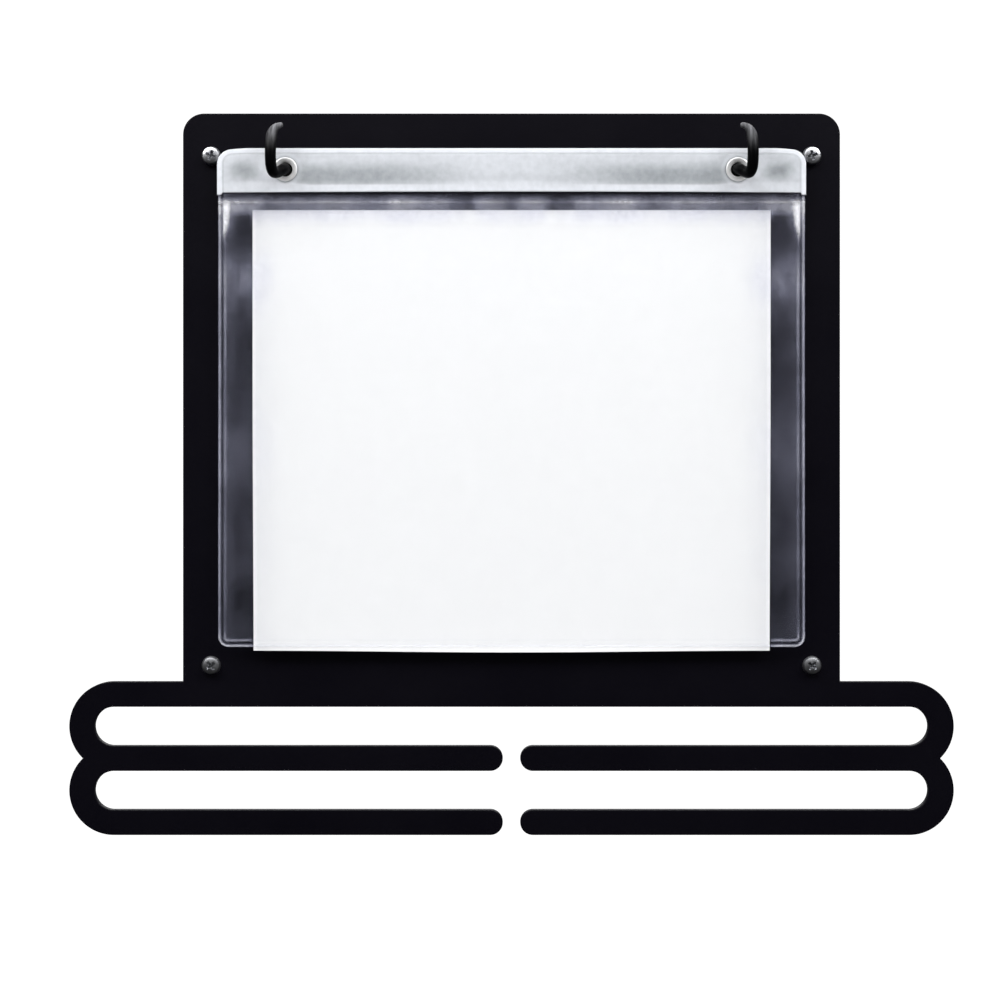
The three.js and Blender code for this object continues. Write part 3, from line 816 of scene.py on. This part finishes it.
def nut_mesh(node):
    """A hexagon nut whose corners are turned off at 30 degrees on both faces."""
    size = size_of(node)
    flats, thick = size.z / 2, size.y

    def hexagon(angle, y, radius):
        if radius < 0.8 * flats:
            return radius
        sector = (angle + pi / 6) % (pi / 3) - pi / 6
        edge = flats / cos(sector - pi / 6 if sector > 0 else sector + pi / 6)
        bevel = flats * 0.97 + min(y, thick - y) * 1.73
        return min(edge, bevel)

    rows = [thick * t for t in (0, 0.03, 0.06, 0.09, 0.13, 0.18, 0.25, 0.5)]
    rows += [thick - y for y in reversed(rows[:-1])]
    bore = HOOK_HOLE_RADIUS
    inner = [(bore, thick - 0.3 * MM), (bore, 0.3 * MM)]
    profile = [(bore + 0.3 * MM, 0), *[(flats, y) for y in rows], (bore + 0.3 * MM, thick), *inner]
    return turned("hook_nut_hex", profile, 72, closed=True, shape=hexagon, sharp_angle=24)


def make_hooks():
    washer = washer_mesh("hook_washer_left", HOOK_HOLE_RADIUS)
    nut = nut_mesh("hook_nut_left")
    for side, sign in SIDES:
        rod = hook_mesh(side, sign)
        piece(f"hook_rod_{side}", rod, HOOK_PAINT, "wall_unit", "hook_black", f"hook_{side}")
        for name, mesh in (("washer", washer), ("nut", nut)):
            fitting(f"{name}_{side}", mesh, FIXING, "wall_unit", "fixing_steel", f"hook_{name}_{side}")


# The sleeve. Its films are flat welds along the edges with a softly bulging pocket inside them.

FILM_HALF = film_high.x
FILM_BOTTOM = film_low.z - BASE
FILM_TOP = film_high.z - BASE
FILM_DEPTH = PLATE_FRONT - film_low.y
BACK_FILM_DEPTH = PLATE_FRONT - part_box("sleeve_back_film")[0].y
HEADER_HALF = header_high.x
HEADER_BOTTOM = header_low.z - BASE
HEADER_TOP = header_high.z - BASE
HEADER_DEPTH = PLATE_FRONT - header_low.y
SHEET_HALF = sheet_high.x
SHEET_TOP = sheet_high.z - BASE
SHEET_BOTTOM = sheet_low.z - BASE
SHEET_DEPTH = PLATE_FRONT - sheet_low.y
TOP_WELD = HEADER_BOTTOM - TOP_WELD_DROP
EYELETS = [middle_of(f"eyelet_{side}") for side, _ in SIDES]


def rounded_half_width(half, radius, past):
    """Half a panel's width at a distance past the start of its rounded corners."""
    if past <= 0:
        return half
    return half - radius + sqrt(max(radius**2 - past**2, 0))


def rounded_inset(half, radius, x, past):
    """How far a point lies inside a panel's sides and the edge between its rounded corners."""
    beside = abs(x) - (half - radius)
    if beside > 0 and past > 0:
        return radius - hypot(beside, past)
    return min(half - abs(x), radius - past)


def film_half_width(height):
    return rounded_half_width(FILM_HALF, FILM_CORNER_RADIUS, FILM_BOTTOM + FILM_CORNER_RADIUS - height)


def film_inset(x, height):
    return rounded_inset(FILM_HALF, FILM_CORNER_RADIUS, x, FILM_BOTTOM + FILM_CORNER_RADIUS - height)


def over_sheet(x):
    return fade(SHEET_HALF - 1 * MM, SHEET_HALF + 2 * MM, abs(x))


def mouth_at(x, height):
    """1 at the open lower edge over the sheet, falling to 0 further up and to the sides."""
    return over_sheet(x) * fade(FILM_BOTTOM + 6 * MM, FILM_BOTTOM + 16 * MM, height)


def weld_at(inset):
    return fade(WELD_WIDTH - 0.4 * MM, WELD_WIDTH + 0.2 * MM, inset)


def front_film_depth(x, height):
    inset = film_inset(x, height)
    side_inset = FILM_HALF - abs(x)
    mouth = mouth_at(x, height)
    weld = weld_at(inset)
    over_weld = height - TOP_WELD
    high_up = smoothstep(FILM_TOP - 36 * MM, FILM_TOP - 8 * MM, height)
    clear_of_header = fade(-9 * MM, -1 * MM, over_weld)
    depth = FILM_DEPTH - 0.05 * MM
    depth -= WELD_STEP * weld * (1 - mouth)
    depth += BEAD_RISE * hump(inset, BEAD_WIDTH / 2, BEAD_WIDTH / 2 + 0.2 * MM) * (1 - 0.8 * mouth)
    depth += INNER_LINE_RISE * hump(inset, WELD_WIDTH + 0.2 * MM, 0.6 * MM) * (1 - 0.85 * mouth)
    puff = 1 - exp(-max(side_inset - WELD_WIDTH, 0) / (2.6 * MM))
    puff *= fade(6 * MM, 16 * MM, side_inset) * clear_of_header * (1 - weld)
    depth += (POCKET_PUFF + POCKET_PUFF_HIGH_UP * high_up) * puff
    depth += 0.10 * MM * wave(x, height, 34 * MM, 1) * smoothstep(3 * MM, 10 * MM, inset) * clear_of_header
    pleats = 0.10 * MM * wave(x, height * 0.25, 5 * MM, 2) + 0.06 * MM * wave(x, height * 0.3, 11 * MM, 3)
    depth += pleats * hump(over_weld, -3.5 * MM, 4.5 * MM)
    pinch = hump(over_weld, 0, 3.2 * MM) * smoothstep(WELD_WIDTH, WELD_WIDTH + 1.5 * MM, side_inset)
    return depth - TOP_WELD_PINCH * pinch + TOP_WELD_RISE * hump(over_weld, 0, 0.5 * MM)


def front_film_back_depth(x, height):
    weld = weld_at(film_inset(x, height)) * (1 - over_sheet(x))
    inner = front_film_depth(x, height) - FILM_THICKNESS
    return inner + (BACK_FILM_DEPTH + 0.1 * MM - inner) * weld


def back_film_depth(x, height):
    inset = film_inset(x, height)
    sag = 0.12 * MM * wave(x, height, 40 * MM, 5) * smoothstep(2 * MM, 12 * MM, inset)
    return BACK_FILM_DEPTH - 0.02 * MM - abs(sag)


def back_film_back_depth(x, height):
    return back_film_depth(x, height) - FILM_THICKNESS


# Clouds of painted reflection in the strips beside the sheet, and clouds along the inner weld line down each
# side.
# Each is given by its height and half its length in millimetres, and by its haze.
STRIP_CLOUDS = ((224, 15, 0.060), (213, 13, 0.012), (155, 25, 0.022), (112, 14, 0.004), (95, 14, -0.008))
LINE_CLOUDS = ((205, 34, 0.06), (152, 24, 0.04), (112, 22, 0.02))
# Where the painted highlight in each upper corner, a milky patch, starts, is full, eases and ends.
STREAK_HEIGHTS = (235.5 * MM, 245 * MM, 251 * MM, 256 * MM)


def cloud_sum(height, clouds):
    return sum(amount * hump(height, middle * MM, half * MM) for middle, half, amount in clouds)


def corner_streak(side_inset, height):
    """A painted highlight: the milky patch where the pocket's side meets its top weld, tapering to nothing
    further down.
    """
    edge = 2.1 * MM + 2.0 * MM * smoothstep(238 * MM, 248 * MM, height)
    core = window(1.5 * MM, 2.6 * MM, edge - 1.1 * MM, edge + 1.3 * MM, side_inset)
    skirt = fade(edge, edge + 5 * MM, side_inset)
    return window(*STREAK_HEIGHTS, height) * (0.50 * core + 0.06 * skirt)


def weld_patches(x, height):
    """Light and dark patches in the film around its top weld, alike on the left and the right."""
    broad = wave(abs(x), height * 0.15, 13 * MM, 4)
    narrow = wave(abs(x), height * 0.3, 4 * MM, 8)
    return max(0.0, 1 + 1.1 * broad + 0.4 * narrow)


def front_haze_and_painted_light(x, height):
    """How milky the film is, from 0 for clear to 1 for white. Much of it is painted light: soft reflections
    in the strips, a highlight in each upper corner and shade over the sheet's sides and top.
    """
    inset = film_inset(x, height)
    side_inset = FILM_HALF - abs(x)
    towards_side = smoothstep(SHEET_HALF - 13 * MM, SHEET_HALF, abs(x))
    mouth = mouth_at(x, height)
    mottle = 1 + 0.45 * wave(abs(x), height * 0.5, 5 * MM, 10)
    # Painted reflections in the strips beside the sheet, reaching in over the sheet's sides as painted shade
    # on it.
    haze_and_painted_light = 0.004 + (0.012 + cloud_sum(height, STRIP_CLOUDS)) * towards_side * mottle
    haze_and_painted_light += 0.012 * fade(3 * MM, 9 * MM, side_inset)
    haze_and_painted_light *= 1 - 0.7 * hump(inset, 1.6 * MM, 0.5 * MM)
    low_down = fade(90 * MM, 200 * MM, height)
    bead = hump(inset, (0.65 - 0.2 * low_down) * MM, 0.8 * MM)
    foot = fade(FILM_CORNER_RADIUS, 1.6 * FILM_CORNER_RADIUS, height - FILM_BOTTOM)
    haze_and_painted_light += (0.125 - 0.015 * low_down + 0.10 * foot) * bead * (1 - 0.8 * mouth)
    line = 0.035 + cloud_sum(height, LINE_CLOUDS) * (side_inset < 4 * MM) + 0.10 * foot
    inner_line = hump(inset, WELD_WIDTH + (0.75 - 0.15 * foot) * MM, (0.95 - 0.2 * foot) * MM)
    haze_and_painted_light += line * inner_line * (1 - 0.9 * mouth)
    patches = weld_patches(x, height)
    over_weld = height - TOP_WELD
    haze_and_painted_light += (0.025 + 0.05 * patches) * hump(over_weld, -0.1 * MM, 0.8 * MM)
    # Painted shade: the milky film darkens the top of the sheet.
    below = smoothstep(SHEET_TOP - (2 + 6 * over_sheet(x)) * MM, SHEET_TOP + 0.3 * MM, height)
    haze_and_painted_light += 0.085 * fade(0.3 * MM, 2.6 * MM, over_weld) * below * patches
    top = window(0.3 * MM, 1.4 * MM, 2.4 * MM, 3.4 * MM, over_weld)
    haze_and_painted_light += 0.022 * top * patches * smoothstep(4 * MM, 14 * MM, side_inset)
    # Painted highlight in each upper corner.
    haze_and_painted_light += corner_streak(side_inset, height)
    return min(max(haze_and_painted_light, 0.0), 1.0)


def back_haze(x, height):
    inset = film_inset(x, height)
    return 0.004 + 0.06 * hump(inset, 0.3 * MM, 0.5 * MM)


def add_attribute(mesh, name, rule):
    layer = mesh.attributes.new(name, "FLOAT", "POINT")
    layer.data.foreach_set("value", [rule(v.co.x, v.co.z - BASE) for v in mesh.vertices])


def film_mesh(name, front, back, haze_and_painted_light):
    rows = [FILM_BOTTOM + FILM_CORNER_RADIUS * (1 - cos(radians(a))) for a in range(0, 90, 6)]
    rows += graded(FILM_BOTTOM + FILM_CORNER_RADIUS, FILM_TOP, 0.3 * MM, 12 * MM, 2.4 * MM, fine_low=False)
    columns = columns_across(FILM_HALF, 0.22 * MM, 15 * MM, 2.0 * MM)
    mesh = relief(name, rows, columns, film_half_width, front, back)
    add_attribute(mesh, "haze_and_painted_light", haze_and_painted_light)
    return mesh


def make_films():
    for name, front, back, haze_and_painted_light in (("front", front_film_depth, front_film_back_depth, front_haze_and_painted_light),
                                    ("back", back_film_depth, back_film_back_depth, back_haze)):
        mesh = film_mesh(f"pocket_{name}", front, back, haze_and_painted_light)
        piece(f"pocket_{name}", mesh, FILM, "sleeve", "clear_vinyl", f"sleeve_{name}_film")


def header_half_width(height):
    return rounded_half_width(HEADER_HALF, HEADER_CORNER_RADIUS, height - HEADER_TOP + HEADER_CORNER_RADIUS)


def header_inset(x, height):
    return rounded_inset(HEADER_HALF, HEADER_CORNER_RADIUS, x, height - HEADER_TOP + HEADER_CORNER_RADIUS)


def eyelet_distance(x, height):
    return min(hypot(x - e.x, height - (e.z - BASE)) for e in EYELETS)


def edge_drop(radius, inset):
    """How far a rounded edge lies below its face."""
    return radius - sqrt(max(radius**2 - max(radius - inset, 0) ** 2, 0))


def header_front_depth(x, height):
    inset = header_inset(x, height)
    up = height - HEADER_BOTTOM
    depth = HEADER_DEPTH - edge_drop(HEADER_RIM, inset) - 0.6 * edge_drop(HEADER_RIM, up)
    depth -= 0.13 * MM * hump(inset, HEADER_BORDER, 0.55 * MM)
    body = smoothstep(HEADER_BORDER, HEADER_BORDER + 3 * MM, inset)
    depth -= 0.20 * MM * hump(up, HEADER_BAND, 5 * MM) * body
    depth += 0.16 * MM * wave(x, height, 22 * MM, 6) * body
    depth += 0.07 * MM * wave(x, height * 1.5, 8 * MM, 7) * body
    depth -= 0.12 * MM * hump(eyelet_distance(x, height), EYELET_FLANGE_RADIUS + 0.2 * MM, 1.1 * MM)
    return depth


def header_back_depth(x, height):
    """The back of the strip steps forward over the pocket's films."""
    block = PLATE_FRONT - header_high.y
    lip = HEADER_DEPTH - 0.33 * MM
    return lip + (block - lip) * smoothstep(FILM_TOP + 0.1 * MM, FILM_TOP + 0.3 * MM, height)


def header_tone_and_painted_light(x, height):
    """How bright the vinyl is, from 0 to 1: painted shade and highlights over its body, emboss line and
    eyelets, and its bright welded border.
    """
    inset = header_inset(x, height)
    up = height - HEADER_BOTTOM
    reach = abs(x)
    top = HEADER_BAND + (HEADER_BAND_AT_ENDS - HEADER_BAND) * smoothstep(78 * MM, 106 * MM, reach)
    above_band = smoothstep(top - 0.4 * MM, top + 0.6 * MM, up)
    between = window(6 * MM, 58 * MM, 80 * MM, 94 * MM, reach)
    # Painted shade: grey clouds over the middle above the lower band, and a dark patch towards each end.
    tone_and_painted_light = 0.70 - 0.44 * between * fade(7.5 * MM, 14 * MM, up) * above_band
    tone_and_painted_light -= 0.46 * hump(reach - 0.4 * up, 103 * MM, 9 * MM) * hump(up, 8.6 * MM, 6 * MM)
    # Painted highlight along the lower band.
    tone_and_painted_light += (0.10 + 0.12 * hump(reach, 93 * MM, 16 * MM)) * fade(3.4 * MM, 5 * MM, up)
    # Painted shade along the line just inside the welded border; the border itself is brighter.
    tone_and_painted_light -= 0.16 * hump(inset, HEADER_BORDER + 0.25 * MM, 0.5 * MM)
    tone_and_painted_light += 0.26 * fade(HEADER_BORDER - 0.5 * MM, HEADER_BORDER - 0.1 * MM, inset)
    # Painted highlight in a ring around each eyelet, and painted shadow at the edge of its flange.
    tone_and_painted_light += 0.12 * hump(eyelet_distance(x, height), EYELET_FLANGE_RADIUS + 1.2 * MM, 1.2 * MM)
    tone_and_painted_light -= 0.30 * hump(eyelet_distance(x, height), EYELET_FLANGE_RADIUS + 0.1 * MM, 0.45 * MM)
    return tone_and_painted_light


def make_header():
    rows = graded(HEADER_BOTTOM, HEADER_TOP - HEADER_CORNER_RADIUS, 0.3 * MM, 1 * MM, 0.4 * MM)
    rows += [HEADER_TOP - HEADER_CORNER_RADIUS * (1 - sin(radians(a))) for a in range(4, 91, 4)]
    columns = columns_across(HEADER_HALF, 0.2 * MM, 4 * MM, 0.5 * MM)
    body = relief("header_strip", rows, columns, header_half_width, header_front_depth, header_back_depth)
    cutters = []
    for eyelet in EYELETS:
        bore, reach = EYELET_BARREL_RADIUS + 0.1 * MM, 6 * MM
        cutter = turned("bore", [(bore, -reach), (bore, reach)], 48)
        cutter.transform(Matrix.Translation(eyelet))
        cutters.append(cutter)
    mesh = carve(body, cutters)
    add_attribute(mesh, "tone_and_painted_light", header_tone_and_painted_light)
    for vertex in mesh.vertices:
        from_end = HEADER_HALF - abs(vertex.co.x)
        up = (vertex.co.z - header_low.z) / (header_high.z - header_low.z)
        vertex.co.z -= HEADER_DROOP * up * fade(0, HEADER_DROOP_LENGTH, from_end)
        vertex.co.z -= HEADER_FOOT * (1 - up) * fade(1.6 * MM, 2.3 * MM, from_end)
        vertex.co.z += HEADER_ARCH * (1 - up) * (1 - (vertex.co.x / HEADER_HALF) ** 2)
    finish_shading(mesh, 40, flat_faces=False)
    piece("header_strip", mesh, HEADER, "sleeve", "header_vinyl", "sleeve_header")


def make_eyelets():
    depth = size_of("eyelet_left").y
    hole, barrel, flange = EYELET_HOLE_RADIUS, EYELET_BARREL_RADIUS, EYELET_FLANGE_RADIUS
    crest = flange - 0.45 * MM
    dish = [(hole + (crest - hole) * t, 0.62 * MM * (1 - t) ** 1.6) for t in [i / 10 for i in range(11)]]
    brim = [(crest + 0.45 * MM * sin(a), 0.4 * MM - 0.4 * MM * cos(a))
            for a in [pi / 2 * i / 6 for i in range(1, 7)]]
    profile = [(hole, depth), *dish, *brim, (flange - 0.1 * MM, 0.5 * MM), (barrel + 0.1 * MM, 0.75 * MM),
               (barrel, 0.9 * MM), (barrel, depth)]
    ferrule = turned("ferrule", profile, 64, closed=True)
    thick, bore = size_of("eyelet_washer_left").y, barrel + 0.1 * MM
    cup = [(bore, 0), (flange - 0.3 * MM, 0), (flange, 0.12 * MM), (flange - 0.15 * MM, thick),
           (bore + 0.2 * MM, thick), (bore, thick - 0.1 * MM)]
    washer = turned("ferrule_washer", cup, 64, closed=True)
    for side, _ in SIDES:
        fitting(f"ferrule_{side}", ferrule, NICKEL, "sleeve", "eyelet_nickel", f"eyelet_{side}")
        fitting(f"ferrule_washer_{side}", washer, NICKEL, "sleeve", "eyelet_nickel", f"eyelet_washer_{side}")


# The sheet. Its lower edge bows, so that its corners are a little higher than its middle, and it narrows a
# little towards that edge.

def sheet_shade(x, height):
    """How much darker the sheet is than plain white, from 0 to 1: most near its sides and upper edge."""
    from_side = SHEET_HALF - abs(x)
    from_top = SHEET_TOP - height
    shade = 0.115 * exp(-from_side / (10 * MM)) * smoothstep(0.9 * MM, 1.8 * MM, from_side)
    shade += 0.13 * exp(-from_top / (5 * MM)) + 0.18 * exp(-from_top / (0.6 * MM))
    shade += 0.20 * exp(-from_top / (3 * MM) - from_side / (12 * MM))
    below_pocket = fade(FILM_BOTTOM - 0.4 * MM, FILM_BOTTOM + 0.4 * MM, height)
    shade += below_pocket * (0.08 + 0.10 * exp(-from_side / (15 * MM)))
    return min(shade, 0.6)


def make_sheet():
    def curl(x, height):
        edge = min(SHEET_HALF - abs(x), SHEET_TOP - height)
        lift = 0.05 * MM * wave(x, height, 45 * MM, 9)
        return lift - 0.04 * MM * fade(0, 8 * MM, edge)

    def front(x, height):
        return SHEET_DEPTH - 0.02 * MM + curl(x, height)

    def back(x, height):
        return front(x, height) - SHEET_THICKNESS

    rows = graded(SHEET_BOTTOM, SHEET_TOP, 0.8 * MM, 6 * MM, 2.5 * MM)
    columns = columns_across(SHEET_HALF, 0.4 * MM, 4 * MM, 2 * MM)
    mesh = relief("blank_number", rows, columns, lambda height: SHEET_HALF, front, back)
    add_attribute(mesh, "shade", sheet_shade)
    for vertex in mesh.vertices:
        rise = vertex.co.z - BASE - SHEET_BOTTOM
        low_down = fade(0, 25 * MM, rise)
        vertex.co.z += SHEET_BOW * low_down * (0.5 - 0.5 * cos(pi * vertex.co.x / SHEET_HALF))
        vertex.co.x *= 1 - SHEET_TAPER * fade(0, 110 * MM, rise)
    piece("blank_number", mesh, PAPER, "sheet", "sheet_paper", "number_sheet")


# The studio.

def area_light(name, location, target, width, height, power, glossy=True):
    lamp = bpy.data.lights.new(name, "AREA")
    lamp.shape = "RECTANGLE"
    lamp.size, lamp.size_y, lamp.energy = width, height, power
    placed = place_in_scene(name, lamp)
    placed.location = location
    placed.rotation_euler = (Vector(target) - Vector(location)).to_track_quat("-Z", "Y").to_euler()
    placed.visible_glossy = glossy


def make_world():
    """White to look at, and a dim studio, lighter overhead and behind, for what it lights and mirrors."""
    world = bpy.data.worlds.new("studio")
    bpy.context.scene.world = world
    s = Nodes(world, "ShaderNodeOutputWorld")
    split = s.add("ShaderNodeSeparateXYZ", {0: s.coordinates["Generated"]}).outputs
    overhead = s.span(split["Z"], 0.2, 0.9, 0.012, 0.6, "SMOOTHSTEP")
    behind = s.span(split["Y"], 0.0, 1.0, 0.0, 0.25, "SMOOTHSTEP")
    strength = s.math("ADD", overhead, behind)
    dim = s.add("ShaderNodeBackground", {"Color": (0.97, 0.98, 1.0, 1), "Strength": strength})
    white = s.add("ShaderNodeBackground", {"Color": (1, 1, 1, 1), "Strength": 1.1})
    seen = s.add("ShaderNodeLightPath").outputs["Is Camera Ray"]
    s.close(s.add("ShaderNodeMixShader", {0: seen, 1: dim.outputs[0], 2: white.outputs[0]}))


def make_floor():
    s = surface("pale_floor")
    grain = s.noise(6, 3.0)
    lit = s.add("ShaderNodeBsdfDiffuse", {"Color": s.blend(grain, (0.86,) * 3, (0.9,) * 3)})
    glow = s.add("ShaderNodeEmission", {"Strength": 0.35})
    material = s.close(s.add("ShaderNodeAddShader", {0: lit.outputs[0], 1: glow.outputs[0]}))
    disc = bmesh.new()
    bmesh.ops.create_circle(disc, cap_ends=True, segments=96, radius=FLOOR_RADIUS)
    mesh = mesh_of("floor", disc)
    mesh.materials.append(material)
    floor = place_in_scene("floor", mesh)
    floor.location = (0, 0, cad_box[0].z - FLOOR_DROP)
    floor.visible_glossy = False


def make_studio():
    make_world()
    make_floor()
    middle = (0, PLATE_FRONT, 0)
    area_light("left_softbox", (-0.85, -0.62, 0.90), middle, 0.5, 0.6, SOFTBOX_POWER)
    area_light("right_softbox", (0.85, -0.62, 0.90), middle, 0.5, 0.6, SOFTBOX_POWER)
    area_light("top_softbox", (0, -0.75, 1.10), middle, 1.3, 0.5, SOFTBOX_POWER)
    area_light("low_fill", (0, -1.1, -0.7), middle, 1.2, 0.8, 3.5, glossy=False)
    area_light("back_softbox", (0, 1.1, 0.7), (0, 0.02, 0), 1.2, 0.6, 12)


def make_camera():
    camera = bpy.data.cameras.new("camera")
    camera.sensor_width = SENSOR_WIDTH
    camera.lens = SENSOR_WIDTH * CAMERA_DISTANCE / VIEW_WIDTH_AT_PLATE
    camera.clip_start = 0.01
    camera.clip_end = 20
    placed = place_in_scene("camera", camera)
    placed.location = (CAMERA_X, PLATE_FRONT - CAMERA_DISTANCE, CAMERA_Z)
    placed.rotation_euler = (radians(90), 0, 0)
    bpy.context.scene.camera = placed


make_plate()
make_wall_fixings()
make_hooks()
make_films()
make_header()
make_eyelets()
make_sheet()
make_camera()
make_studio()
bpy.context.scene.view_settings.view_transform = "Standard"
